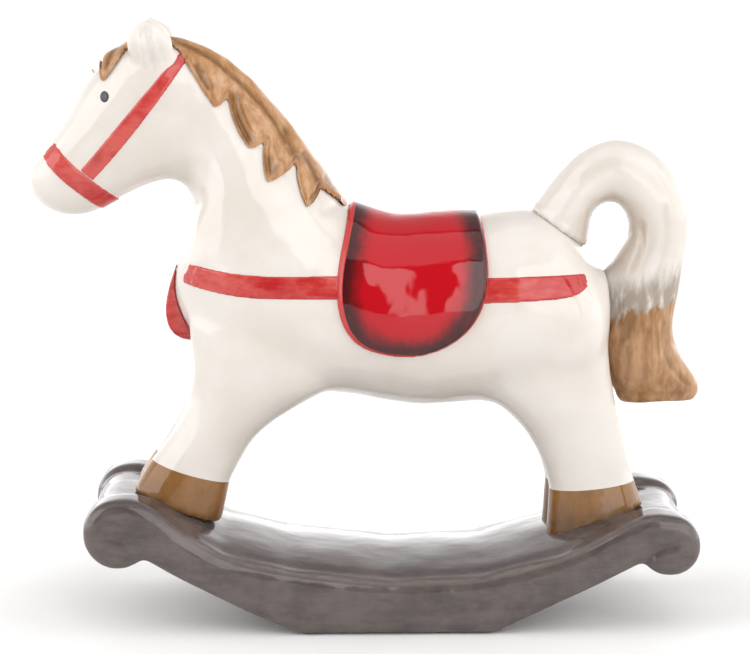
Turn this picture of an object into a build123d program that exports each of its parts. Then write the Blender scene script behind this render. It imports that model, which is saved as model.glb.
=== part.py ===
from build123d import *
from math import hypot
import os

# Glazed slip-cast rocking-horse ornament. Millimetres, +Z up.
# The origin is the middle of the flat foot on the table. The horse looks
# along -X, so its own left side is -Y and its tail is at +X.

# ---------- driving sizes ----------
body_width = 44.0        # barrel of the horse at its widest
wall = 4.0               # thickness of the cast body wall
vent_diameter = 3.0      # firing vent in the belly
vent_x = 6.0

leg_depth = 15.5         # one leg, measured across the horse, at the hoof
leg_joint = 1.5          # how much of each leg the flat inner face takes off

tail_width = 16.0
ear_width = 10.5
ear_thickness = 6.0

saddle_proud = 1.6       # how far each modelled relief stands off the glaze
strap_proud = 0.6
mane_proud = 1.9
forelock_proud = 1.9
eye_proud = 0.4

strap_width = 5.6        # breast strap
noseband_width = 4.8
tassel_width = 9.0
tassel_length = 19.5
eye_width = 2.2
eye_height = 2.7

base_width = 53.0        # outer face to outer face of the two rockers
rocker_width = 11.0      # thickness of one rocker
rocker_round = 2.5       # rounded outer edge of a rocker
front_scroll_radius = 8.4
rear_scroll_radius = 7.4
roll_step = 1.2          # how far the deck's rolled ends lie below the scrolls
foot_front = -22.0       # the flat foot runs between these two places
foot_rear = 25.0

# ---------- places in the side view, (x, z) ----------
# Stations of the body: the topmost point, the lowest point and the share of
# body_width that the horse has there. They run from the rump to the muzzle.
body_stations = [
    ((52.6, 80.0), (53.4, 70.0), 0.30),
    ((50.8, 86.0), (52.0, 60.0), 0.60),
    ((46.5, 91.5), (47.0, 53.0), 0.84),
    ((39.0, 98.0), (38.0, 51.0), 0.97),
    ((30.0, 99.0), (29.0, 51.5), 1.00),
    ((20.0, 97.2), (19.0, 52.0), 0.99),
    ((10.0, 95.6), (9.5, 51.6), 0.97),
    ((1.0, 95.2), (0.0, 52.4), 0.97),
    ((-6.0, 97.8), (-12.0, 54.4), 0.97),
    ((-11.0, 101.0), (-27.0, 56.0), 0.96),
    ((-15.0, 106.0), (-42.5, 63.5), 0.91),
    ((-19.5, 112.5), (-49.5, 71.5), 0.83),
    ((-25.0, 120.0), (-52.2, 81.5), 0.73),
    ((-31.0, 126.6), (-50.0, 89.5), 0.64),
    ((-37.5, 133.2), (-47.4, 97.0), 0.57),
    ((-44.5, 137.6), (-48.6, 104.8), 0.53),
    ((-52.0, 139.8), (-54.5, 106.4), 0.51),
    ((-60.0, 139.6), (-61.3, 104.0), 0.50),
    ((-67.0, 136.4), (-66.8, 101.2), 0.47),
    ((-72.6, 130.4), (-71.2, 98.9), 0.43),
    ((-76.4, 124.0), (-75.3, 98.0), 0.40),
    ((-80.2, 118.0), (-79.4, 98.4), 0.38),
    ((-83.8, 113.4), (-83.0, 100.0), 0.31),
    ((-86.2, 110.0), (-85.8, 103.4), 0.18),
]
hollow_stations = body_stations[2:-3]
belly_height = 51.6

# Stations of a leg: the front point, the back point and the share of
# leg_depth that the leg has there. They run from the body to below the hoof.
front_leg_stations = [
    ((-48.5, 74.0), (-10.0, 63.0), 1.25),
    ((-47.5, 64.0), (-15.5, 56.4), 1.22),
    ((-48.4, 55.4), (-27.4, 49.0), 1.08),
    ((-52.8, 46.2), (-34.9, 41.0), 0.97),
    ((-57.0, 39.6), (-38.6, 34.0), 0.95),
    ((-62.6, 31.4), (-40.4, 26.6), 1.00),
    ((-66.0, 25.0), (-42.0, 20.0), 1.00),
]
rear_leg_stations = [
    ((17.0, 66.0), (52.6, 72.0), 1.25),
    ((23.0, 55.0), (53.0, 62.0), 1.22),
    ((31.0, 48.0), (54.6, 52.6), 1.08),
    ((36.6, 40.0), (57.2, 42.4), 0.97),
    ((38.9, 32.0), (59.6, 34.0), 0.95),
    ((38.4, 22.6), (62.6, 25.0), 1.00),
    ((38.0, 14.0), (65.0, 17.0), 1.00),
]
ankle = 4                # the hoof begins at this station of the leg

# Stations of the tail: the outer point, the inner point and the share of
# tail_width. The tail rises from the rump, turns over and hangs behind it.
tail_stations = [
    ((30.5, 93.0), (41.0, 83.0), 0.95),
    ((35.0, 99.6), (46.0, 88.6), 1.04),
    ((40.6, 107.4), (48.6, 95.6), 1.08),
    ((46.6, 113.2), (50.4, 99.6), 1.04),
    ((54.5, 116.0), (53.8, 100.9), 1.02),
    ((62.6, 113.9), (56.4, 99.4), 1.02),
    ((69.4, 107.4), (58.0, 96.2), 1.02),
    ((72.6, 97.4), (57.7, 91.6), 1.02),
    ((72.0, 88.0), (54.6, 86.8), 1.02),
    ((70.6, 79.4), (51.8, 79.4), 1.00),
    ((69.2, 71.4), (52.4, 71.0), 0.96),
    ((70.2, 65.4), (53.2, 62.6), 0.94),
    ((73.6, 60.0), (54.2, 57.4), 0.86),
    ((75.9, 55.6), (55.4, 53.9), 0.66),
    ((74.6, 52.0), (57.2, 51.4), 0.36),
]

# The mane hangs over the crest on both sides. Each lock has a point on its
# front edge, its tip, a point on its back edge and the notch behind it.
mane_front = [(-49.6, 138.4), (-54.4, 142.0), (-56.0, 146.0)]
mane_locks = [
    ((-45.4, 131.0), (-41.6, 125.0), (-39.2, 126.2), (-38.0, 128.2)),
    ((-36.6, 121.6), (-33.2, 115.6), (-30.2, 116.6), (-28.6, 119.8)),
    ((-29.8, 113.4), (-28.9, 107.6), (-24.6, 109.6), (-21.6, 112.4)),
    ((-21.2, 107.0), (-19.3, 101.8), (-17.0, 103.8), (-15.9, 106.0)),
]
mane_back = (-10.4, 102.0)
mane_above = [(-7.0, 102.0), (-6.0, 112.0), (-24.0, 138.0), (-40.0, 149.0)]

forelock_above = [(-58.0, 146.0), (-70.0, 145.0), (-76.0, 134.6)]
forelock_below = [
    [(-76.0, 134.6), (-71.7, 132.8)],
    [(-71.7, 132.8), (-70.8, 135.0), (-69.4, 136.4)],
    [(-69.4, 136.4), (-69.4, 133.8), (-68.7, 131.0)],
    [(-68.7, 131.0), (-65.8, 134.6), (-63.4, 138.6)],
    [(-63.4, 138.6), (-58.0, 141.6)],
]

ear_root = (-54.8, 132.4)
ear_tip = (-58.6, 144.7)
ear_root_spread = 6.6    # how far the middle of each ear is from the middle plane
ear_tip_spread = 9.4
ear_shape = [(0.0, 0.74), (0.25, 0.92), (0.5, 1.0), (0.7, 0.93), (0.86, 0.66), (0.95, 0.38), (1.0, 0.13)]
eye_place = (-67.8, 127.2)

saddle_rear = [(21.4, 106.0), (22.6, 92.0), (22.4, 82.0), (19.2, 74.2), (12.8, 68.4), (3.4, 65.8)]
saddle_low = [(3.4, 65.8), (-1.0, 66.2), (-5.0, 67.4)]
saddle_front = [(-5.0, 67.4), (-10.6, 72.2), (-12.8, 80.0), (-12.0, 90.0), (-8.6, 106.0)]

# Middle lines or edges of the straps. Each runs past the edge that trims it.
noseband_line = [(-84.0, 117.8), (-80.6, 113.0), (-74.6, 107.0), (-66.0, 99.6)]
cheek_upper = [(-75.6, 107.4), (-67.5, 116.8), (-56.5, 129.8), (-50.8, 136.0)]
cheek_end = [(-50.8, 136.0), (-48.8, 136.9), (-48.6, 134.8)]
cheek_lower = [(-48.6, 134.8), (-52.6, 129.2), (-63.5, 115.0), (-72.0, 105.4)]
breast_line = [(-58.0, 86.8), (-47.0, 84.8), (-38.0, 83.4), (-26.0, 82.9), (-4.0, 82.7)]
rear_upper = [(14.0, 84.9), (22.6, 85.2), (35.1, 85.6), (48.2, 85.7)]
rear_end = [(48.2, 85.7), (49.5, 85.1), (49.0, 83.8)]
rear_lower = [(49.0, 83.8), (45.4, 81.2), (37.5, 79.9), (22.6, 79.2), (14.0, 79.0)]
tassel_front = [(-51.1, 87.6), (-52.9, 82.0), (-54.1, 75.5), (-53.7, 72.0), (-48.2, 67.2)]
tassel_rear = [(-44.0, 70.0), (-44.0, 84.0)]

# The rockers: top ridge, then the notches where the scrolls roll under.
front_scroll = (-65.0, 24.4)
rear_scroll = (66.5, 20.9)
front_notch = (-58.0, 17.8)
rear_notch = (58.2, 16.1)
front_rise = (-40.0, 8.2)
rear_rise = (41.6, 7.8)
ridge = [
    (-65.0, 32.8),
    (-61.0, 32.7),
    (-56.8, 31.0),
    (-50.0, 25.4),
    (-40.0, 19.6),
    (-24.0, 15.6),
    (0.0, 13.0),
    (22.0, 14.0),
    (40.0, 18.6),
    (52.0, 24.4),
    (58.0, 27.6),
    (62.6, 28.8),
    (66.5, 28.3),
]
deck_top = [
    (-65.0, 31.6),
    (-60.0, 30.8),
    (-53.0, 28.0),
    (-40.0, 23.0),
    (-22.0, 17.4),
    (0.0, 15.0),
    (22.0, 15.9),
    (42.0, 20.0),
    (54.0, 24.2),
    (61.0, 26.8),
    (66.5, 27.1),
]

# ---------- shared constructions ----------
half_base = base_width / 2
rocker_inner = half_base - rocker_width
reach = 4 * body_width   # longer than anything it cuts
sides = ((-1, "left"), (1, "right"))
pieces = []


def across(high, low, y=0.0):
    # plane square to the side view through two of its points, and their distance
    length = hypot(high[0] - low[0], high[1] - low[1])
    middle = ((high[0] + low[0]) / 2, y, (high[1] + low[1]) / 2)
    along = ((high[0] - low[0]) / length, 0, (high[1] - low[1]) / length)
    return Plane(middle, along, (-along[2], 0, along[0])), length


def oval(high, low, width, y=0.0, grow=0.0):
    # cross-section that spans two points of the side view
    plane, length = across(high, low, y)
    with BuildSketch(plane) as section:
        with BuildLine():
            for start in (0, 180):
                EllipticalCenterArc((0, 0), length / 2 + grow, width / 2 + grow, start, arc_size=180)
        make_face()
    return section.sketch


def body_sections(stations, grow=0.0):
    return [oval(high, low, share * body_width, grow=grow) for high, low, share in stations]


def leg_sections(stations, side):
    sections = []
    for front, back, share in stations:
        depth = share * leg_depth
        sections.append(oval(front, back, depth, y=side * (depth / 2 - leg_joint)))
    return sections


def side_view(*lines):
    # closed outline: two points make a line, three an arc, more a spline
    with BuildSketch(Plane.XZ) as outline:
        with BuildLine():
            for number, points in enumerate(lines):
                if len(points) == 2:
                    Line(*points)
                elif len(points) == 3:
                    ThreePointArc(*points)
                else:
                    Spline(*points)
                following = lines[(number + 1) % len(lines)][0]
                if points[-1] != following:
                    Line(points[-1], following)
        make_face()
    return outline.sketch


def strap(line, width):
    # flat band about a middle line
    with BuildSketch(Plane.XZ) as outline:
        with BuildLine() as middle:
            Spline(*line)
        trace(middle.line, width)
    return outline.sketch


def keep_side(side):
    # cuts away the half of the current piece that isn't on this side
    with Locations((0, -side * reach / 2, 0)):
        Box(4 * reach, reach, 4 * reach, mode=Mode.SUBTRACT)


def finish(builder, name):
    builder.part.label = name
    pieces.append(builder.part)
    return builder.part


def relief(name, outline, proud, *under, side=0):
    # raised area of the glaze: a thicker horse, cut to an outline
    with BuildPart() as raised:
        loft(sections=body_sections(body_stations, proud))
        extrude(outline, amount=reach, both=True, mode=Mode.INTERSECT)
        if side:
            keep_side(side)
        for piece in (solid_horse.part, *under):
            add(piece, mode=Mode.SUBTRACT)
    return finish(raised, name)


# ---------- horse ----------
with BuildPart() as solid_horse:
    loft(sections=body_sections(body_stations))

with BuildPart() as horse_body:
    add(solid_horse.part)
    loft(sections=body_sections(hollow_stations, -wall), mode=Mode.SUBTRACT)
    with BuildSketch(Plane.XY.offset(belly_height - wall)):
        with Locations((vent_x, 0)):
            Circle(vent_diameter / 2)
    extrude(amount=3 * wall, mode=Mode.SUBTRACT)
finish(horse_body, "horse_body")

# ---------- base ----------
rear_underside = [rear_notch, rear_rise, (foot_rear, 0)]
front_underside = [(foot_front, 0), front_rise, front_notch]

rockers = []
for side, side_name in sides:
    with BuildPart() as rocker:
        with BuildSketch(Plane.XZ.offset(-side * half_base)):
            add(side_view(ridge, [rear_scroll, rear_notch], rear_underside, front_underside,
                          [front_notch, front_scroll]))
            with Locations(front_scroll):
                Circle(front_scroll_radius)
            with Locations(rear_scroll):
                Circle(rear_scroll_radius)
        extrude(amount=side * rocker_width)
        outer_face = rocker.faces().sort_by(Axis.Y)[0 if side < 0 else -1]
        fillet(outer_face.outer_wire().edges(), rocker_round)
    rockers.append(finish(rocker, f"{side_name}_rocker"))

with BuildPart() as deck:
    with BuildSketch(Plane.XZ) as profile:
        add(side_view(deck_top, [rear_scroll, rear_notch], rear_underside, front_underside,
                      [front_notch, front_scroll]))
        with Locations(front_scroll):
            Circle(front_scroll_radius - roll_step)
        with Locations(rear_scroll):
            Circle(rear_scroll_radius - roll_step)
    extrude(profile.sketch, amount=rocker_inner, both=True)
finish(deck, "deck")

with BuildPart() as below_deck:
    extrude(side_view(deck_top, [(reach, 0), (-reach, 0)]), amount=reach, both=True)

# ---------- legs and hooves ----------
legs = []
for side, side_name in sides:
    for end_name, stations in (("front", front_leg_stations), ("rear", rear_leg_stations)):
        with BuildPart() as leg:
            loft(sections=leg_sections(stations[: ankle + 1], side))
            keep_side(side)
            add(solid_horse.part, mode=Mode.SUBTRACT)
        legs.append(finish(leg, f"{side_name}_{end_name}_leg"))
        with BuildPart() as hoof:
            loft(sections=leg_sections(stations[ankle:], side))
            keep_side(side)
            for piece in (below_deck.part, *rockers):
                add(piece, mode=Mode.SUBTRACT)
        finish(hoof, f"{side_name}_{end_name}_hoof")

# ---------- tail ----------
with BuildPart() as tail:
    # stretched circles keep their seams in line while the tail turns right over
    for outer, inner, share in tail_stations:
        plane, length = across(outer, inner)
        with BuildSketch(plane):
            Circle(1)
            scale(by=(length / 2, share * tail_width / 2, 1))
    loft()
    for piece in (solid_horse.part, *legs):
        add(piece, mode=Mode.SUBTRACT)
finish(tail, "tail")

# ---------- ears ----------
ears = {}
for side, side_name in sides:
    root = Vector(ear_root[0], side * ear_root_spread, ear_root[1])
    tip = Vector(ear_tip[0], side * ear_tip_spread, ear_tip[1])
    along = (tip - root).normalized()
    with BuildPart() as ear:
        sections = []
        for distance, share in ear_shape:
            middle = root + along * distance * (tip - root).length
            with BuildSketch(Plane(middle, (-1, 0, 0), along)) as section:
                Circle(share / 2)
                scale(by=(ear_width, ear_thickness, 1))
            sections.append(section.sketch)
        loft(sections=sections)
        add(solid_horse.part, mode=Mode.SUBTRACT)
    ears[side_name] = finish(ear, f"{side_name}_ear")

# ---------- saddle and harness ----------
with BuildPart() as chest_tassel:
    extrude(side_view(tassel_front, tassel_rear), amount=tassel_width, both=True)
    with BuildSketch(Plane.YZ):
        with Locations((0, tassel_front[-1][1] + tassel_length / 2)):
            SlotOverall(tassel_length, tassel_width, rotation=90)
    extrude(amount=-reach, mode=Mode.INTERSECT)
    add(solid_horse.part, mode=Mode.SUBTRACT)
tassel = finish(chest_tassel, "chest_tassel")

saddle = relief("saddle", side_view(saddle_rear, saddle_low, saddle_front), saddle_proud)
noseband = relief("noseband", strap(noseband_line, noseband_width), strap_proud)
relief("breast_strap", strap(breast_line, strap_width), strap_proud, saddle, tassel)
cheek_straps = []
for side, side_name in sides:
    cheek_outline = side_view(cheek_upper, cheek_end, cheek_lower)
    cheek_straps.append(
        relief(f"{side_name}_cheek_strap", cheek_outline, strap_proud, noseband, ears[side_name], side=side)
    )
    relief(f"{side_name}_rear_strap", side_view(rear_upper, rear_end, rear_lower), strap_proud,
           saddle, side=side)

# ---------- mane, forelock and eyes ----------
lock_lines = []
notch = mane_front[0]
for front_edge, lock_tip, back_edge, next_notch in mane_locks:
    lock_lines += [[notch, front_edge, lock_tip], [lock_tip, back_edge, next_notch]]
    notch = next_notch
mane_outline = side_view(*lock_lines, [notch, mane_back], mane_above, mane_front[::-1])
relief("mane", mane_outline, mane_proud, *ears.values(), *cheek_straps)
relief("forelock", side_view(forelock_above, *forelock_below), forelock_proud, *ears.values())

for side, side_name in sides:
    with BuildSketch(Plane.XZ) as pupil:
        with Locations(eye_place):
            Ellipse(eye_width / 2, eye_height / 2)
    relief(f"{side_name}_eye", pupil.sketch, eye_proud, side=side)

os.makedirs("parts", exist_ok=True)
for piece in pieces:
    export_step(piece, f"parts/{piece.label}.step")
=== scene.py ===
import math

import bmesh
import bpy
import numpy as np
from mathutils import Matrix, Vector, noise
from mathutils.bvhtree import BVHTree
from mathutils.kdtree import KDTree


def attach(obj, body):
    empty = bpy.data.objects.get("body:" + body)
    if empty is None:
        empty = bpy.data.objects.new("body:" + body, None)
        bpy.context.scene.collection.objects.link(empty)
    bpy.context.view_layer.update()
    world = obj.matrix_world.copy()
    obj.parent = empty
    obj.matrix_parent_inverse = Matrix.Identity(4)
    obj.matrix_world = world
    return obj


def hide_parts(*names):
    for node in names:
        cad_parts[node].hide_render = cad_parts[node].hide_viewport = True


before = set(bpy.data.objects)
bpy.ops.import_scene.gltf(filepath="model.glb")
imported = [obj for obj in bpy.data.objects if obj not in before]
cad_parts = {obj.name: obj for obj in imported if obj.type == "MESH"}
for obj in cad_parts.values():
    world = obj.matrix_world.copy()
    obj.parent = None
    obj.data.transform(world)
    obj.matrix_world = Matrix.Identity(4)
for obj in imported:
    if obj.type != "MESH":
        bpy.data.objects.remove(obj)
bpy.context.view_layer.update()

millimetre = 0.001


# ---- mesh helpers ----

def deselectAll():
    if bpy.context.mode != "OBJECT":
        bpy.ops.object.mode_set(mode="OBJECT")
    bpy.ops.object.select_all(action="DESELECT")


def pick(piece):
    deselectAll()
    piece.select_set(True)
    bpy.context.view_layer.objects.active = piece


def copyNodes(names, pieceName):
    # one new mesh from copies of the CAD nodes, with its loose triangles joined up
    copies = []
    for name in names:
        piece = bpy.data.objects.new(pieceName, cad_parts[name].data.copy())
        bpy.context.scene.collection.objects.link(piece)
        copies.append(piece)
    pick(copies[0])
    for piece in copies:
        piece.select_set(True)
    if len(copies) > 1:
        bpy.ops.object.join()
    piece = bpy.context.view_layer.objects.active
    piece.data.materials.clear()
    bpy.ops.object.mode_set(mode="EDIT")
    bpy.ops.mesh.select_all(action="SELECT")
    bpy.ops.mesh.remove_doubles(threshold=0.002 * millimetre)
    bpy.ops.object.mode_set(mode="OBJECT")
    piece.name = pieceName
    return piece


def remesh(piece, voxel):
    pick(piece)
    modifier = piece.modifiers.new("remesh", "REMESH")
    modifier.mode = "VOXEL"
    modifier.voxel_size = voxel * millimetre
    modifier.use_smooth_shade = True
    bpy.ops.object.modifier_apply(modifier=modifier.name)


def smooth(piece, factor, repeats):
    pick(piece)
    modifier = piece.modifiers.new("smooth", "SMOOTH")
    modifier.factor = factor
    modifier.iterations = repeats
    bpy.ops.object.modifier_apply(modifier=modifier.name)


def readPoints(piece):
    points = np.empty(len(piece.data.vertices) * 3)
    piece.data.vertices.foreach_get("co", points)
    return points.reshape(-1, 3)


def readNormals(piece):
    normals = np.empty(len(piece.data.vertices) * 3)
    piece.data.vertices.foreach_get("normal", normals)
    return normals.reshape(-1, 3)


def writePoints(piece, points):
    piece.data.vertices.foreach_set("co", points.ravel())
    piece.data.update()


def writeAttribute(piece, name, values):
    attribute = piece.data.attributes.new(name, "FLOAT", "POINT")
    attribute.data.foreach_set("value", np.asarray(values, dtype=np.float32))


def neighbourAverage(piece):
    # returns a function that gives each point the average of its neighbours
    ends = np.empty(len(piece.data.edges) * 2, dtype=np.int64)
    piece.data.edges.foreach_get("vertices", ends)
    ends = ends.reshape(-1, 2)
    count = np.bincount(ends.ravel(), minlength=len(piece.data.vertices)).astype(float)
    count[count == 0] = 1

    def average(values):
        flat = values if values.ndim > 1 else values[:, None]
        total = np.zeros_like(flat)
        for axis in range(flat.shape[1]):
            column = flat[:, axis]
            total[:, axis] = (np.bincount(ends[:, 0], column[ends[:, 1]], len(count))
                              + np.bincount(ends[:, 1], column[ends[:, 0]], len(count)))
        total /= count[:, None]
        return total if values.ndim > 1 else total[:, 0]

    return average


def fillCreases(piece, repeats, strength):
    # the glaze pools in hollows: points move out where the surface is hollow, never in
    average = neighbourAverage(piece)
    start = readPoints(piece)
    points = start.copy()
    for step in range(repeats):
        if step % 10 == 0:
            writePoints(piece, points)
            normals = readNormals(piece)
        pull = average(points) - points
        along = (pull * normals).sum(1)
        points += pull * np.clip(along / (0.002 * millimetre), 0, 1)[:, None] * strength
    writePoints(piece, points)
    return np.linalg.norm(points - start, axis=1)


def groundOf(piece):
    # a search tree over the faces of a piece
    return BVHTree.FromPolygons([v.co for v in piece.data.vertices], [p.vertices for p in piece.data.polygons])


def findGround(ground, points):
    # nearest place on another piece, and which way its surface faces there
    spots, normals = np.empty_like(points), np.empty_like(points)
    for number, point in enumerate(points):
        hit, normal, face, distance = ground.find_nearest(Vector(point))
        spots[number], normals[number] = hit, normal
    return spots, normals


def hollowOf(piece, repeats):
    # how far each point lies below the smoothed surface, in millimetres
    average = neighbourAverage(piece)
    points = readPoints(piece)
    blurred = points.copy()
    for step in range(repeats):
        blurred = blurred + 0.8 * (average(blurred) - blurred)
    return ((blurred - points) * readNormals(piece)).sum(1) / millimetre


def smoothStep(low, high, values):
    t = np.clip((values - low) / (high - low), 0, 1)
    return t * t * (3 - 2 * t)


def dress(piece, material, slotName, *nodes):
    piece.data.materials.clear()
    piece.data.materials.append(material)
    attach(piece, "root")
    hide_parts(*nodes)


# ---- shader helper ----

class Wire:
    # wraps a socket of a node tree, so that shader maths reads as plain sums
    def __init__(self, tree, socket):
        self.tree = tree
        self.socket = socket

    def make(self, kind, settings=None, inputs=None, output=0):
        node = self.tree.nodes.new(kind)
        for name, value in (settings or {}).items():
            if name == "stops":
                ramp = node.color_ramp
                while len(ramp.elements) > 1:
                    ramp.elements.remove(ramp.elements[-1])
                for number, (place, colour) in enumerate(value):
                    stop = ramp.elements[0] if number == 0 else ramp.elements.new(place)
                    stop.position = place
                    stop.color = (*colour, 1)
            else:
                setattr(node, name, value)
        for name, value in (inputs or {}).items():
            if isinstance(value, Wire):
                self.tree.links.new(value.socket, node.inputs[name])
            else:
                node.inputs[name].default_value = value
        return Wire(self.tree, node.outputs[output]) if node.outputs else node

    def maths(self, operation, *others):
        values = dict(enumerate((self, *others)))
        return self.make("ShaderNodeMath", {"operation": operation}, values)

    def __add__(self, other):
        return self.maths("ADD", other)

    def __sub__(self, other):
        return self.maths("SUBTRACT", other)

    def __mul__(self, other):
        return self.maths("MULTIPLY", other)

    def __pow__(self, other):
        return self.maths("POWER", other)

    def __radd__(self, other):
        return self.make("ShaderNodeMath", {"operation": "ADD"}, {0: other, 1: self})

    def __rsub__(self, other):
        return self.make("ShaderNodeMath", {"operation": "SUBTRACT"}, {0: other, 1: self})

    def __rmul__(self, other):
        return self.make("ShaderNodeMath", {"operation": "MULTIPLY"}, {0: other, 1: self})

    def between(self, low, high, fromValue=0.0, toValue=1.0):
        return self.make("ShaderNodeMapRange", {"interpolation_type": "SMOOTHSTEP"},
                         {"Value": self, "From Min": low, "From Max": high, "To Min": fromValue, "To Max": toValue})

    def mixColour(self, first, second, blend="MIX"):
        return self.make("ShaderNodeMix", {"data_type": "RGBA", "blend_type": blend},
                         {0: self, 6: solid(first), 7: solid(second)}, output=2)

    def noise(self, scale, detail=3.0, roughness=0.5, distortion=0.0):
        return self.make("ShaderNodeTexNoise", {},
                         {"Vector": self, "Scale": scale, "Detail": detail, "Roughness": roughness,
                          "Distortion": distortion})

    def stretched(self, scale, turn=(0, 0, 0), shift=(0, 0, 0)):
        return self.make("ShaderNodeMapping", {}, {"Vector": self, "Location": shift, "Rotation": turn, "Scale": scale})


glazeIor = 1.5


def solid(colour):
    return colour if isinstance(colour, Wire) else (*colour, 1)


def newMaterial(name):
    material = bpy.data.materials.new(name)
    material.use_nodes = True
    tree = material.node_tree
    tree.nodes.clear()
    coordinates = tree.nodes.new("ShaderNodeTexCoord")
    return material, Wire(tree, coordinates.outputs["Object"])


def finishMaterial(place, colour, roughness, bump=None, bumpDepth=0.1):
    values = {"Base Color": solid(colour), "Roughness": roughness, "IOR": glazeIor}
    if bump is not None:
        values["Normal"] = place.make("ShaderNodeBump", {}, {"Height": bump, "Distance": bumpDepth * millimetre})
    shader = place.make("ShaderNodeBsdfPrincipled", {}, values)
    place.make("ShaderNodeOutputMaterial", {}, {"Surface": shader})


def attributeOf(place, name):
    return place.make("ShaderNodeAttribute", {"attribute_name": name}, {}, output=2)


def axesOf(place):
    split = place.make("ShaderNodeSeparateXYZ", {}, {0: place})
    return [Wire(place.tree, split.socket.node.outputs[axis]) for axis in range(3)]


# ---- glazes ----

creamColours = {"glaze": (0.69, 0.645, 0.60), "thin": (0.64, 0.585, 0.53), "poolAndShade": (0.42, 0.33, 0.25)}


def creamGlaze():
    material, place = newMaterial("creamGlaze")
    poolAndShade = attributeOf(place, "poolAndShade")
    cloud = place.noise(55, 4, 0.55)
    fine = place.noise(420, 3, 0.6)
    colour = cloud.between(0.35, 0.7).mixColour(creamColours["glaze"], creamColours["thin"])
    # darker glaze in hollows and creases: partly real pooling of the glaze, partly painted shade
    poolAndShadeMask = (poolAndShade * (0.55 + 0.9 * cloud)).between(0.05, 1.0) * 0.8
    colour = poolAndShadeMask.mixColour(colour, creamColours["poolAndShade"])
    roughness = fine.between(0.3, 0.7, 0.05, 0.10)
    finishMaterial(place, colour, roughness, place.noise(130, 2, 0.4), 0.25)
    return material


hoofColours = {"light": (0.25, 0.115, 0.036), "deep": (0.105, 0.05, 0.014), "pale": (0.36, 0.19, 0.09)}
brownColours = {"light": (0.36, 0.165, 0.055), "deep": (0.17, 0.072, 0.018), "pale": (0.50, 0.285, 0.145)}


def hoofGlaze():
    material, place = newMaterial("hoofGlaze")
    x, y, z = axesOf(place)
    strokes = place.stretched((420, 420, 180), (0, 1.57, 0)).noise(1.0, 4, 0.6)
    blotch = place.noise(130, 4, 0.6)
    foot = (z + blotch * 0.008).between(0.0265, 0.0345, 1, 0)
    depth = strokes * 0.35 + blotch * 0.6 + foot * 0.2
    colour = depth.between(0.4, 0.8).mixColour(hoofColours["light"], hoofColours["deep"])
    colour = (blotch.between(0.54, 0.8) * 0.6).mixColour(colour, hoofColours["pale"])
    finishMaterial(place, colour, strokes.between(0.3, 0.7, 0.05, 0.11), place.noise(200, 2, 0.4), 0.15)
    return material


def maneGlaze():
    material, place = newMaterial("maneGlaze")
    groove = attributeOf(place, "groove")
    strokes = place.stretched((700, 700, 160), (0, 0.75, 0)).noise(1.0, 4, 0.6)
    blotch = place.noise(110, 3, 0.6)
    colour = (strokes * 0.5 + blotch * 0.5).between(0.38, 0.6).mixColour(brownColours["pale"], brownColours["light"])
    colour = (groove * (0.45 + 0.6 * strokes)).between(0.1, 0.95).mixColour(colour, brownColours["deep"])
    finishMaterial(place, colour, strokes.between(0.3, 0.7, 0.06, 0.12), place.noise(200, 2, 0.4), 0.12)
    return material


tailColours = {"smoke": (0.23, 0.17, 0.12), "umber": (0.17, 0.085, 0.03)}


def tailGlaze():
    material, place = newMaterial("tailGlaze")
    x, y, z = axesOf(place)
    poolAndShade = attributeOf(place, "poolAndShade")
    groove = attributeOf(place, "groove")
    strokes = place.stretched((380, 380, 90), (0, 0.12, 0)).noise(1.0, 4, 0.65)
    hatch = place.stretched((700, 700, 200), (0, 0.35, 0)).noise(1.0, 4, 0.6)
    cloud = place.noise(60, 4, 0.55)
    cream = cloud.between(0.35, 0.7).mixColour(creamColours["glaze"], creamColours["thin"])
    # darker in hollows, grooves and round the loop: partly pooled glaze, partly painted shade
    poolAndShadeMask = poolAndShade * (0.45 + 0.7 * cloud) + groove * 0.25
    cream = (poolAndShadeMask * 0.8).mixColour(cream, creamColours["poolAndShade"])
    slope = z - x * 0.22 + strokes * 0.010
    smoke = slope.between(0.0705, 0.0770, 1, 0) * hatch.between(0.16, 0.56)
    colour = (smoke * 0.8).mixColour(cream, tailColours["smoke"])
    grain = (strokes * 0.4 + hatch * 0.3 + cloud * 0.4).between(0.42, 0.68)
    brown = grain.mixColour(hoofColours["light"], brownColours["pale"])
    brown = (groove * 0.3 + cloud.between(0.55, 0.75) * 0.5).mixColour(brown, tailColours["umber"])
    colour = slope.between(0.0655, 0.0675, 1, 0).mixColour(colour, brown)
    finishMaterial(place, colour, hatch.between(0.3, 0.7, 0.05, 0.12), place.noise(140, 2, 0.4), 0.2)
    return material


redColours = {"full": (0.42, 0.016, 0.018), "thin": (0.55, 0.085, 0.07), "deep": (0.26, 0.005, 0.008)}


def strapRed(name, turn):
    material, place = newMaterial(name)
    strokes = place.stretched((160, 600, 600), turn).noise(1.0, 4, 0.65)
    blotch = place.noise(80, 4, 0.6)
    colour = (strokes * 0.35 + blotch * 0.65).between(0.38, 0.62).mixColour(redColours["full"], redColours["thin"])
    colour = blotch.between(0.6, 0.8).mixColour(colour, redColours["deep"])
    finishMaterial(place, colour, strokes.between(0.3, 0.7, 0.06, 0.13), place.noise(200, 2, 0.4), 0.12)
    return material


saddleColours = {"centre": (0.43, 0.003, 0.009), "edge": (0.50, 0.035, 0.035), "shade": (0.040, 0.006, 0.007)}


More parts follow.
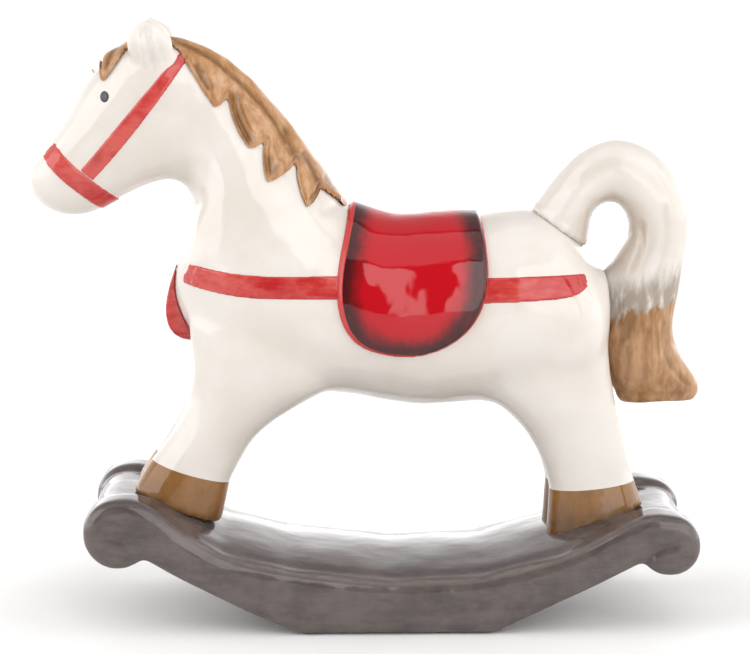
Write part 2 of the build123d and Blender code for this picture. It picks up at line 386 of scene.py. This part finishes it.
def saddleRed():
    material, place = newMaterial("saddleRed")
    x, y, z = axesOf(place)
    inward = attributeOf(place, "inward")
    grain = place.stretched((700, 700, 160)).noise(1.0, 4, 0.65)
    cloud = place.noise(90, 3, 0.6)
    reach = inward + cloud * 4 + grain * 3.2 - 3.6
    shade = reach.between(2.2, 6.8, 1, 0) * (0.72 + 0.5 * grain)
    colour = shade.mixColour(saddleColours["centre"], saddleColours["shade"])
    # brighter red rim along the edge: partly unsprayed red on the side wall, partly painted highlight where the edge
    # catches light
    rimRedAndHighlightWidth = x.between(0.002, 0.014, 1.3, 0.35)
    rimRedAndHighlight = (inward - rimRedAndHighlightWidth + cloud * 0.3).between(0.05, 0.25, 1, 0)
    colour = rimRedAndHighlight.mixColour(colour, saddleColours["edge"])
    finishMaterial(place, colour, grain.between(0.3, 0.7, 0.03, 0.07), place.noise(110, 2, 0.4), 0.2)
    return material


rockerColours = {"stone": (0.112, 0.089, 0.083), "dark": (0.070, 0.055, 0.053), "wearAndHighlight": (0.27, 0.225, 0.195)}


def rockerGrey():
    material, place = newMaterial("rockerGrey")
    wearAndHighlight = attributeOf(place, "wearAndHighlight")
    strokes = place.stretched((170, 700, 520)).noise(1.0, 4, 0.65)
    cloud = place.noise(75, 5, 0.65)
    colour = (strokes * 0.4 + cloud * 0.6).between(0.38, 0.62).mixColour(rockerColours["stone"], rockerColours["dark"])
    # lighter along the ridge: partly real wear, partly painted highlight
    colour = (wearAndHighlight * strokes.between(0.3, 0.6)).mixColour(colour, rockerColours["wearAndHighlight"])
    finishMaterial(place, colour, strokes.between(0.3, 0.7, 0.07, 0.14), place.noise(150, 2, 0.4), 0.15)
    return material


def eyeSlate():
    material, place = newMaterial("eyeSlate")
    tint = place.noise(900, 2, 0.5)
    colour = tint.between(0.4, 0.7).mixColour((0.018, 0.021, 0.028), (0.05, 0.055, 0.065))
    finishMaterial(place, colour, tint.between(0.3, 0.7, 0.06, 0.12))
    return material


# ---- the white casting ----

castingShape = {"voxel": 0.8, "smooth": 6, "fillSteps": 60, "fillStrength": 0.5, "settle": 4,
                "ventX": 6.0, "ventRadius": 1.7, "ventTop": 60.0}
castingPoolAndShade = {"hollowSteps": 60, "fullFill": 2.2, "fullHollow": 0.9, "spread": 20}


def withoutCavity(piece):
    # takes away the wall of the firing vent and the inner skin of the hollow body
    mesh = bmesh.new()
    mesh.from_mesh(piece.data)
    wall = []
    for face in mesh.faces:
        x, y, z = face.calc_center_median() / millimetre
        if math.hypot(x - castingShape["ventX"], y) < castingShape["ventRadius"] and z < castingShape["ventTop"]:
            wall.append(face)
    bmesh.ops.delete(mesh, geom=wall, context="FACES")
    mesh.to_mesh(piece.data)
    mesh.free()
    pick(piece)
    bpy.ops.mesh.separate(type="LOOSE")
    parts = sorted(bpy.context.selected_objects, key=lambda part: part.dimensions.x)
    for part in parts[:-1]:
        bpy.data.objects.remove(part)
    outer = parts[-1]
    pick(outer)
    bpy.ops.object.mode_set(mode="EDIT")
    bpy.ops.mesh.select_all(action="SELECT")
    bpy.ops.mesh.fill_holes(sides=0)
    bpy.ops.object.mode_set(mode="OBJECT")
    return outer


def ripple(piece, size, depth, seed):
    # hand-finished clay is never quite even: low waves of one size over the whole piece
    points = readPoints(piece)
    normals = readNormals(piece)
    amount = np.array([noise.noise(Vector(point) / (size * millimetre) + Vector((seed, 0, 0))) for point in points])
    writePoints(piece, points + normals * (amount * depth * millimetre)[:, None])


def distanceTo(points, line):
    # distance in the side view from each point to a line of places
    flat = points[:, (0, 2)] / millimetre
    nearest = np.full(len(flat), 1e9)
    for start, end in zip(line[:-1], line[1:]):
        start, step = np.array(start), np.array(end) - np.array(start)
        share = np.clip(((flat - start) @ step) / (step @ step), 0, 1)
        nearest = np.minimum(nearest, np.linalg.norm(flat - start - share[:, None] * step, axis=1))
    return nearest


def softLine(places, repeats=3):
    # rounds the corners of a line
    for step in range(repeats):
        rounded = [places[0]]
        for first, second in zip(places[:-1], places[1:]):
            rounded.append((0.75 * first[0] + 0.25 * second[0], 0.75 * first[1] + 0.25 * second[1]))
            rounded.append((0.25 * first[0] + 0.75 * second[0], 0.25 * first[1] + 0.75 * second[1]))
        places = rounded + [places[-1]]
    return places


def press(piece, strokes, name=None):
    # presses tool marks into a piece, and can note them in an attribute
    points = readPoints(piece)
    normals = readNormals(piece)
    pressed = np.zeros(len(points))
    mark = np.zeros(len(points))
    for stroke in strokes:
        near = np.exp(-(distanceTo(points, softLine(stroke["line"])) / stroke["width"]) ** 2)
        if "side" in stroke:
            near = near * smoothStep(0.55, 0.85, stroke["side"] * normals[:, 1])
        pressed = np.where(np.abs(near * stroke["depth"]) > np.abs(pressed), near * stroke["depth"], pressed)
        if stroke["depth"] > 0:
            mark = np.maximum(mark, near)
    writePoints(piece, points - normals * (pressed * millimetre)[:, None])
    if name:
        writeAttribute(piece, name, mark)


castingRipples = [{"size": 17, "depth": 0.45, "seed": 3.0}, {"size": 6, "depth": 0.12, "seed": 9.0}]
earStrokes = [
    {"line": [(-56.0, 134.6), (-56.8, 138.2), (-57.8, 143.0)], "width": 0.9, "depth": 0.7},
    {"line": [(-59.4, 134.8), (-60.2, 138.0), (-60.2, 141.6)], "width": 0.6, "depth": 0.5},
    {"line": [(-53.6, 135.6), (-54.0, 138.4), (-55.4, 141.6)], "width": 0.6, "depth": 0.5},
    {"line": [(-57.6, 134.0), (-58.4, 138.0), (-58.8, 141.0)], "width": 0.5, "depth": -0.35},
]
bodyStrokes = [
    {"line": [(-16.0, 100.0), (-11.4, 101.4)], "width": 1.1, "depth": 0.5},
    {"line": [(-46.0, 102.0), (-43.6, 106.0), (-44.6, 110.0)], "width": 2.5, "depth": 0.5},
]


def makeCasting():
    legs = [f"{side}_{end}_{part}" for side in ("left", "right") for end in ("front", "rear")
            for part in ("leg", "hoof")]
    body = withoutCavity(copyNodes(["horse_body"], "body"))
    piece = copyNodes(legs + ["left_ear", "right_ear"], "casting")
    pick(piece)
    body.select_set(True)
    bpy.ops.object.join()
    remesh(piece, castingShape["voxel"])
    smooth(piece, 0.5, castingShape["smooth"])
    filled = fillCreases(piece, castingShape["fillSteps"], castingShape["fillStrength"]) / millimetre
    smooth(piece, 0.5, castingShape["settle"])
    # painted shade: the glaze is coloured darker where the surface was filled or lies hollow, partly real pooling in
    # the hollows
    hollow = hollowOf(piece, castingPoolAndShade["hollowSteps"])
    poolAndShade = np.clip(filled / castingPoolAndShade["fullFill"], 0, 1) + np.clip(hollow / castingPoolAndShade["fullHollow"], 0, 1)
    average = neighbourAverage(piece)
    for step in range(castingPoolAndShade["spread"]):
        poolAndShade = 0.5 * poolAndShade + 0.5 * average(poolAndShade)
    for wave in castingRipples:
        ripple(piece, **wave)
    press(piece, earStrokes)
    press(piece, bodyStrokes)
    writeAttribute(piece, "poolAndShade", np.clip(poolAndShade, 0, 1))
    print("casting", len(piece.data.polygons), "faces")
    return piece


# the glaze line round each pair of hooves, in the side view
glazeLines = {"frontHooves": [(-57.0, 39.0), (-38.6, 33.4)], "rearHooves": [(38.9, 31.4), (59.6, 33.4)]}
hoofZone = 10.0


def splitOff(piece, name, line):
    # cuts the hooves off along the glaze line
    (startX, startZ), (endX, endZ) = line
    middle = Vector(((startX + endX) / 2, 0, (startZ + endZ) / 2)) * millimetre
    normal = Vector((-(endZ - startZ), 0, endX - startX)).normalized()
    mesh = bmesh.new()
    mesh.from_mesh(piece.data)
    zone = [face for face in mesh.faces if face.calc_center_median().x * middle.x > 0
            and face.calc_center_median().z < middle.z + hoofZone * millimetre]
    parts = set(zone)
    for face in zone:
        parts.update(face.edges)
        parts.update(face.verts)
    bmesh.ops.bisect_plane(mesh, geom=list(parts), plane_co=middle, plane_no=normal)
    mesh.to_mesh(piece.data)
    mesh.free()
    pick(piece)
    bpy.ops.object.mode_set(mode="EDIT")
    bpy.ops.mesh.select_all(action="DESELECT")
    bpy.ops.object.mode_set(mode="OBJECT")
    for face in piece.data.polygons:
        face.select = face.center.x * middle.x > 0 and (face.center - middle).dot(normal) < 0
    bpy.ops.object.mode_set(mode="EDIT")
    bpy.ops.mesh.separate(type="SELECTED")
    bpy.ops.object.mode_set(mode="OBJECT")
    hooves = next(part for part in bpy.context.selected_objects if part != piece)
    hooves.name = name
    for part in (hooves, piece):
        pick(part)
        bpy.ops.object.mode_set(mode="EDIT")
        bpy.ops.mesh.select_all(action="SELECT")
        bpy.ops.mesh.fill_holes(sides=0)
        bpy.ops.object.mode_set(mode="OBJECT")
        bpy.ops.object.shade_smooth_by_angle(angle=math.radians(60))
    return hooves


casting = makeCasting()


castingGround = groundOf(casting)
hooves = {name: splitOff(casting, name, line) for name, line in glazeLines.items()}
dress(casting, creamGlaze(), "cream_glaze", "horse_body", "left_front_leg", "right_front_leg", "left_rear_leg",
      "right_rear_leg", "left_ear", "right_ear")
brownHoof = hoofGlaze()
dress(hooves["frontHooves"], brownHoof, "brown_glaze", "left_front_hoof", "right_front_hoof")
dress(hooves["rearHooves"], brownHoof, "brown_glaze", "left_rear_hoof", "right_rear_hoof")

tailShape = {"voxel": 0.6, "smooth": 8, "hollowSteps": 80, "fullHollow": 0.5, "eye": (53.5, 93), "swell": 0.6}
tailStrokes = [
    {"line": [(60.5, 96.0), (60.8, 90.0), (58.6, 84.0), (55.4, 76.0), (53.0, 70.0)], "width": 0.8, "depth": 0.4},
    {"line": [(66.0, 100.0), (66.6, 92.0), (64.6, 84.0), (60.6, 77.0), (56.6, 68.0)], "width": 1.0, "depth": 0.35},
    {"line": [(44.0, 106.0), (52.0, 111.6), (60.0, 110.0), (65.0, 104.0)], "width": 1.4, "depth": 0.3},
    {"line": [(66.4, 72.0), (66.0, 65.0), (69.0, 60.0), (73.0, 56.0)], "width": 0.7, "depth": 0.5},
    {"line": [(62.0, 70.0), (61.0, 62.0), (63.0, 55.0)], "width": 0.9, "depth": 0.35},
    {"line": [(57.5, 66.0), (57.5, 58.0)], "width": 0.8, "depth": 0.3},
    {"line": [(56.0, 54.6), (63.0, 53.8), (71.0, 54.2)], "width": 0.8, "depth": 0.35},
]


def makeTail():
    piece = copyNodes(["tail"], "tailGlazed")
    remesh(piece, tailShape["voxel"])
    smooth(piece, 0.5, tailShape["smooth"])
    hollow = hollowOf(piece, tailShape["hollowSteps"])
    points = readPoints(piece)
    # the glaze is coloured darker in the hollows and round the eye of the loop: partly glaze pooling, partly painted
    # shade inside the loop
    eyeX, eyeZ = tailShape["eye"]
    eye = np.hypot(points[:, 0] / millimetre - eyeX, points[:, 2] / millimetre - eyeZ)
    poolAndShade = np.clip(hollow / tailShape["fullHollow"], 0, 1) + 0.9 * smoothStep(13.0, 6.5, eye)
    # the root swells to meet the rump without a gap
    root = findGround(castingGround, points)[0]
    swell = tailShape["swell"] * smoothStep(2.5, 0.5, np.linalg.norm(points - root, axis=1) / millimetre)
    writePoints(piece, points + readNormals(piece) * (swell * millimetre)[:, None])
    ripple(piece, size=9, depth=0.3, seed=5.0)
    press(piece, tailStrokes, "groove")
    writeAttribute(piece, "poolAndShade", np.clip(poolAndShade, 0, 1))
    print("tail", len(piece.data.polygons), "faces")
    return piece


dress(makeTail(), tailGlaze(), "tail_glaze", "tail")


# ---- raised and painted pieces ----

cadHorse = groundOf(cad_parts["horse_body"])
crownWidth = 15.0    # a padded area is fully raised this far in from its edge


edgeStep = 0.25


def edgeTree(piece, proud):
    # a search tree over places along the upper edge of a raised area
    mesh = bmesh.new()
    mesh.from_mesh(piece.data)
    places = []
    for edge in mesh.edges:
        if len(edge.link_faces) != 2 or edge.calc_face_angle() < math.radians(35):
            continue
        ends = [vert.co for vert in edge.verts]
        if min((end - cadHorse.find_nearest(end)[0]).length for end in ends) > 0.75 * proud * millimetre:
            count = int(edge.calc_length() / (edgeStep * millimetre)) + 1
            places += [ends[0].lerp(ends[1], step / count) for step in range(count + 1)]
    mesh.free()
    tree = KDTree(len(places))
    for number, place in enumerate(places):
        tree.insert(place, number)
    tree.balance()
    return tree


def makeRelief(node, voxel, proud, top, bevel, rounding, pillow=0.0, sink=1.0, tuck=None):
    # a raised area laid back on the smoothed casting, with a bevelled edge and a sunken underside:
    # proud is how far the CAD solid stands off, the other sizes say how the finished relief is shaped
    piece = copyNodes([node], node + "Glazed")
    tree = edgeTree(piece, proud)
    remesh(piece, voxel)
    points = readPoints(piece)
    flat = findGround(cadHorse, points)[0]
    rise = np.clip(np.linalg.norm(points - flat, axis=1) / (proud * millimetre), 0, 1)
    inward = np.array([tree.find(Vector(point))[2] for point in points]) / millimetre
    inward = np.where(rise > 0.85, inward, 0)
    bulge = 1 - (1 - np.clip(inward / crownWidth, 0, 1)) ** 2
    height = top * (1 - 0.8 * (1 - smoothStep(0, bevel, inward))) + pillow * bulge
    level = -sink + (height + sink) * smoothStep(0.15, 0.85, rise)
    if tuck:
        # the end of a strap runs on under the edge of the saddle
        start, end, length = tuck
        points[:, 0] += length * millimetre * smoothStep(start, end, points[:, 0] / millimetre)
    spots, normals = findGround(castingGround, points)
    writePoints(piece, spots + normals * (level * millimetre)[:, None])
    smooth(piece, 0.5, rounding)
    writeAttribute(piece, "inward", inward)
    print(node, len(piece.data.polygons), "faces")
    return piece


strapSettings = {"voxel": 0.25, "proud": 0.6, "top": 0.4, "bevel": 0.5, "rounding": 4}
rearStrap = {**strapSettings, "tuck": (28, 23, -1.2)}
eyeSettings = {"voxel": 0.12, "proud": 0.4, "top": 0.14, "bevel": 0.3, "rounding": 1, "sink": 0.5}
reliefs = {
    "saddle": {"voxel": 0.34, "proud": 1.6, "top": 1.3, "bevel": 0.9, "rounding": 3, "pillow": 1.9},
    "noseband": strapSettings,
    "left_cheek_strap": strapSettings,
    "right_cheek_strap": strapSettings,
    "breast_strap": {**strapSettings, "tuck": (-20, -15, 1.2)},
    "left_rear_strap": rearStrap,
    "right_rear_strap": rearStrap,
    "left_eye": eyeSettings,
    "right_eye": eyeSettings,
    "mane": {"voxel": 0.34, "proud": 1.0, "top": 1.3, "bevel": 1.6, "rounding": 6},
    "forelock": {"voxel": 0.28, "proud": 0.9, "top": 1.1, "bevel": 0.9, "rounding": 4},
}
made = {node: makeRelief(node, **settings) for node, settings in reliefs.items()}

maneStrokes = [
    {"line": [(-52.0, 140.4), (-47.0, 138.4), (-43.4, 136.6), (-39.0, 133.4), (-34.6, 129.4), (-30.2, 124.6),
              (-27.0, 120.4), (-24.9, 116.4)], "width": 0.8, "depth": 0.22},
    {"line": [(-45.6, 134.4), (-44.2, 131.4), (-43.0, 129.6)], "width": 1.3, "depth": 0.22},
    {"line": [(-36.6, 127.0), (-36.2, 123.4), (-34.6, 119.4), (-33.4, 117.4)], "width": 1.7, "depth": 0.25},
    {"line": [(-28.7, 112.6), (-28.6, 109.4), (-27.0, 110.6)], "width": 1.3, "depth": 0.25},
    {"line": [(-25.0, 119.0), (-23.4, 115.0), (-22.2, 112.6)], "width": 1.2, "depth": 0.22},
    {"line": [(-20.6, 113.4), (-17.8, 108.6), (-16.8, 105.4), (-18.6, 103.2)], "width": 0.9, "depth": 0.25},
    {"line": [(-15.4, 107.4), (-13.6, 105.0)], "width": 0.8, "depth": 0.2},
    {"line": [(-34.6, 125.8), (-31.8, 120.4)], "width": 1.6, "depth": -0.25},
    {"line": [(-41.6, 132.4), (-40.6, 129.4)], "width": 1.4, "depth": -0.25},
]
forelockStrokes = [
    {"line": [(-64.4, 140.0), (-66.4, 137.0), (-67.6, 134.0)], "width": 1.1, "depth": 0.35},
    {"line": [(-63.4, 141.4), (-66.4, 140.6), (-68.6, 137.6), (-69.0, 133.6)], "width": 0.4, "depth": 0.3},
]
press(made["mane"], maneStrokes, "groove")
press(made["forelock"], forelockStrokes, "groove")
ripple(made["mane"], size=4.5, depth=0.16, seed=2.0)
ripple(made["saddle"], size=15, depth=0.14, seed=6.0)


def makeTassel():
    piece = copyNodes(["chest_tassel"], "chestTasselGlazed")
    remesh(piece, 0.4)
    smooth(piece, 0.5, 10)
    print("chest_tassel", len(piece.data.polygons), "faces")
    return piece


made["chest_tassel"] = makeTassel()
dress(made["saddle"], saddleRed(), "saddle_red", "saddle")
hairGlaze = maneGlaze()
dress(made["mane"], hairGlaze, "brown_glaze", "mane")
dress(made["forelock"], hairGlaze, "brown_glaze", "forelock")
bridleRed = strapRed("bridleRed", (0, 0.9, 0))
girthRed = strapRed("girthRed", (0, 1.57, 0))
for node in ("noseband", "left_cheek_strap", "right_cheek_strap"):
    dress(made[node], bridleRed, "strap_red", node)
for node in ("breast_strap", "left_rear_strap", "right_rear_strap", "chest_tassel"):
    dress(made[node], girthRed, "strap_red", node)
eyeGlaze = eyeSlate()
for node in ("left_eye", "right_eye"):
    dress(made[node], eyeGlaze, "eye_black", node)


# ---- the base ----

ridgeLine = [(-65.0, 32.8), (-61.0, 32.7), (-56.8, 31.0), (-50.0, 25.4), (-40.0, 19.6), (-24.0, 15.6), (0.0, 13.0),
             (22.0, 14.0), (40.0, 18.6), (52.0, 24.4), (58.0, 27.6), (62.6, 28.8), (66.5, 28.3)]
baseShape = {"voxel": 0.75, "crown": 2.4, "deckEdge": 24.0, "crease": 0.4, "creasePlace": 22.0, "wearAndHighlightPlace": 25.2}
baseStrokes = [
    {"line": [(67.6, 21.4), (64.6, 21.0), (62.4, 19.6), (61.2, 18.2), (61.0, 15.8)], "width": 0.55, "depth": 1.0},
    {"line": [(-68.0, 24.6), (-63.6, 23.8), (-60.4, 21.6), (-58.6, 18.2)], "width": 1.2, "depth": 0.35},
]


def makeBase():
    piece = copyNodes(["left_rocker", "right_rocker", "deck"], "rockerBase")
    remesh(piece, baseShape["voxel"])
    smooth(piece, 0.5, 5)
    points = readPoints(piece)
    x, y, z = (points / millimetre).T
    span = smoothStep(60, 46, np.abs(x))
    ridgeHeight = np.interp(x, [place[0] for place in ridgeLine], [place[1] for place in ridgeLine])
    # the deck is crowned and meets the ridge, lighter with wear and painted highlight, in a shallow crease
    across = np.abs(y)
    crown = baseShape["crown"] * span * (1 - np.clip(across / baseShape["deckEdge"], 0, 1) ** 2)
    crease = baseShape["crease"] * np.exp(-((across - baseShape["creasePlace"]) / 1.6) ** 2) * span
    share = smoothStep(-4.5, -3, z - ridgeHeight) * smoothStep(25.6, 23.4, across) * smoothStep(61, 55, np.abs(x))
    points[:, 2] += share * (ridgeHeight + crown - crease - z) * millimetre
    writePoints(piece, points)
    remesh(piece, baseShape["voxel"])
    smooth(piece, 0.5, 10)
    press(piece, [{**stroke, "side": side} for stroke in baseStrokes for side in (-1, 1)])
    ripple(piece, size=12, depth=0.25, seed=4.0)
    points = readPoints(piece)
    x, y, z = (points / millimetre).T
    along = distanceTo(points, softLine(ridgeLine, 2))
    # the glaze is painted lighter along the upper outer edge: partly glaze run thin, partly painted highlight
    wearAndHighlight = np.exp(-(np.hypot(along, np.abs(y) - baseShape["wearAndHighlightPlace"]) / 0.8) ** 2) * smoothStep(56, 44, np.abs(x))
    writeAttribute(piece, "wearAndHighlight", wearAndHighlight)
    print("base", len(piece.data.polygons), "faces")
    return piece


base = makeBase()
dress(base, rockerGrey(), "rocker_grey", "left_rocker", "right_rocker", "deck")


# ---- stage, light and camera ----

def makeFloor():
    bpy.ops.mesh.primitive_plane_add(size=8, location=(0, 0, 0))
    floor = bpy.context.active_object
    floor.name = "floor"
    material, place = newMaterial("paleFloor")
    x, y, z = axesOf(place)
    tone = place.noise(9, 3, 0.5).between(0.3, 0.7).mixColour((0.87, 0.865, 0.85), (0.90, 0.895, 0.88))
    # the floor is painted lighter towards the back, where it runs into the lit backdrop: painted light
    colour = y.between(0.03, 0.075).mixColour(tone, (0.97, 0.97, 0.97))
    finishMaterial(place, colour, place.noise(40).between(0.3, 0.7, 0.45, 0.55))
    floor.data.materials.append(material)


# radiance of the studio round the object, by direction: a lit backdrop that fades upwards, a ceiling,
# two tall window panels and a narrower one at the side; angles are in degrees
studio = {"backdrop": 2.6, "backdropTop": 0.35, "ceiling": 0.9, "panel": 2.6, "strip": 2.08, "dark": 0.12}
panelFoot = -3
panelHead = 54


def band(angle, low, high, edge=0.8):
    return angle.between(low - edge, low + edge) * angle.between(high - edge, high + edge, 1, 0)


def makeStudio():
    world = bpy.data.worlds.new("studio")
    bpy.context.scene.world = world
    world.use_nodes = True
    tree = world.node_tree
    tree.nodes.clear()
    place = Wire(tree, tree.nodes.new("ShaderNodeTexCoord").outputs["Generated"])
    x, y, z = axesOf(place)
    degrees = 180 / math.pi
    over = z.maths("ARCTAN2", 0 - y) * degrees
    azimuth = x.maths("ARCTAN2", 0 - y) * degrees
    height = z.maths("ARCSINE") * degrees
    behind = y.between(-0.02, 0.02)
    glow = (studio["backdrop"] - studio["backdropTop"]) * height.between(-5, 50, 1, 0) ** 1.6
    backdrop = behind * (studio["backdropTop"] + glow) * over.between(111, 117)
    below = behind * z.between(-0.01, 0.0, 1, 0) * studio["backdrop"]
    ceiling = band(over, 58, 110, 1.5) * studio["ceiling"]
    left = band(azimuth, -100, -40) * band(height, panelFoot, 52) * studio["panel"]
    right = band(azimuth, 6, 60) * band(height, panelFoot, panelHead) * studio["panel"]
    strip = band(azimuth, 66, 96) * band(height, panelFoot, panelHead) * studio["strip"]
    light = left.maths("MAXIMUM", right).maths("MAXIMUM", strip).maths("MAXIMUM", ceiling)
    light = light.maths("MAXIMUM", backdrop).maths("MAXIMUM", below) + studio["dark"]
    shader = place.make("ShaderNodeBackground", {}, {"Color": (1, 1, 1, 1), "Strength": light})
    place.make("ShaderNodeOutputWorld", {}, {"Surface": shader})


view = {"place": (-0.01816, -0.62469, 0.17087), "down": 9.147, "turn": -1.351, "lens": 124.6, "sensor": 36}


def makeCamera():
    data = bpy.data.cameras.new("camera")
    camera = bpy.data.objects.new("camera", data)
    bpy.context.scene.collection.objects.link(camera)
    camera.location = view["place"]
    camera.rotation_euler = (math.radians(90 - view["down"]), 0, math.radians(view["turn"]))
    data.sensor_width = view["sensor"]
    data.lens = view["lens"]
    bpy.context.scene.camera = camera


makeFloor()
makeStudio()
makeCamera()
bpy.context.scene.view_settings.view_transform = "Standard"
print("stage, light and camera done")
